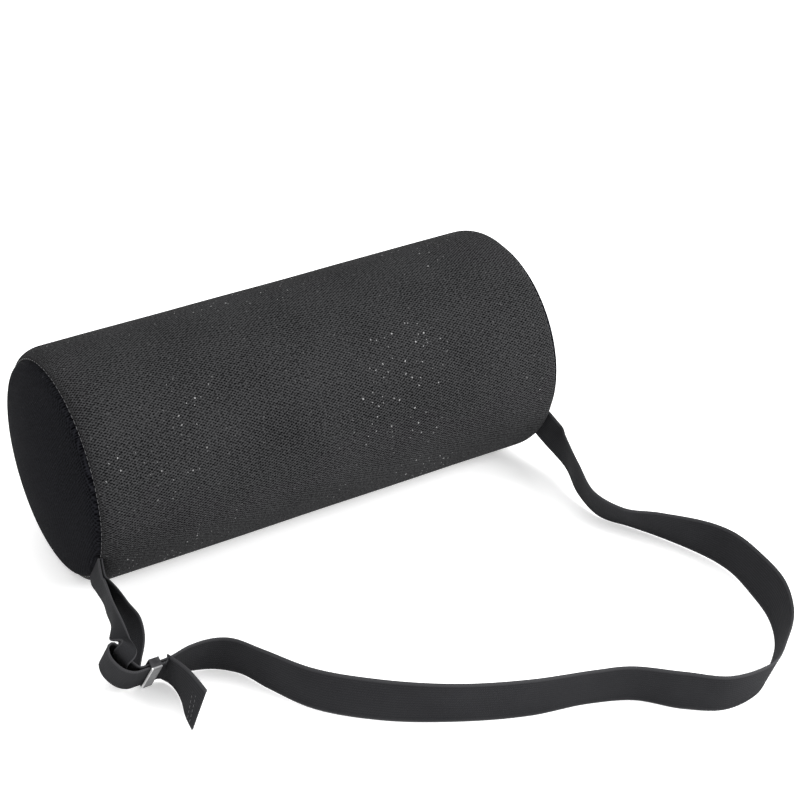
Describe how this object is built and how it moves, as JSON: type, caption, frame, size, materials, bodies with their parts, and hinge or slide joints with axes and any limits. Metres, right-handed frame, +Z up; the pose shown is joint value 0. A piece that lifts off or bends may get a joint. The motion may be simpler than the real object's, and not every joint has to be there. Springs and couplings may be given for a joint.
{
  "type": "lumbar support cushion",
  "caption": "Cylindrical foam lumbar roll in a zipped knit cover, with a webbing strap and slider that hold it to a chair back",
  "frame": {"origin": "under the middle of the roll, on the surface it lies on", "axes": "+X along the roll to its right end, -Y to the side the strap lies on, +Z up"},
  "size_m": [0.3259, 0.3442, 0.125],
  "materials": {
    "foam": "pale grey open-cell foam",
    "knit": "charcoal air-mesh knit, matt",
    "webbing": "charcoal ribbed webbing",
    "tape": "near-black woven tape",
    "nylon": "black nylon coil",
    "nickel": "light grey metal"
  },
  "bodies": {
    "cushion": {"foam_core": "foam", "barrel_cover": "knit", "left_end_cover": "knit", "right_end_cover": "knit", "left_seam_tape": "tape", "right_seam_tape": "tape", "strap_sewn_end": "webbing", "loop_sewn_end_outer": "webbing", "loop_sewn_end_inner": "webbing", "zip_tape_upper": "tape", "zip_tape_lower": "tape", "zip_coil_upper": "nylon", "zip_coil_lower": "nylon", "zip_top_stop_upper": "nickel", "zip_top_stop_lower": "nickel", "zip_bottom_stop": "nickel"},
    "strap": {"strap": "webbing", "anchor_loop": "webbing"},
    "strap_slider": {"strap_slider": "nickel"},
    "zip_slider": {"zip_slider": "nickel"},
    "zip_pull": {"zip_pull": "nickel"}
  },
  "joints": [
    {"name": "strap_swing", "type": "hinge", "parent": "cushion", "child": "strap", "pos_m": [0, -0.04851, 0.02753], "axis": [-1, 0, 0], "range_deg": [0, 35]},
    {"name": "strap_adjust", "type": "slide", "parent": "strap", "child": "strap_slider", "axis": [1, 0, 0], "range_m": [-0.002, 0.003]},
    {"name": "zip_slide", "type": "slide", "parent": "cushion", "child": "zip_slider", "axis": [1, 0, 0], "range_m": [0, 0.213]},
    {"name": "zip_pull_swing", "type": "hinge", "parent": "zip_slider", "child": "zip_pull", "pos_m": [-0.1067, 0.04653, 0.01497], "axis": [0, -0.7071, -0.7071], "range_deg": [-75, 75]}
  ]
}
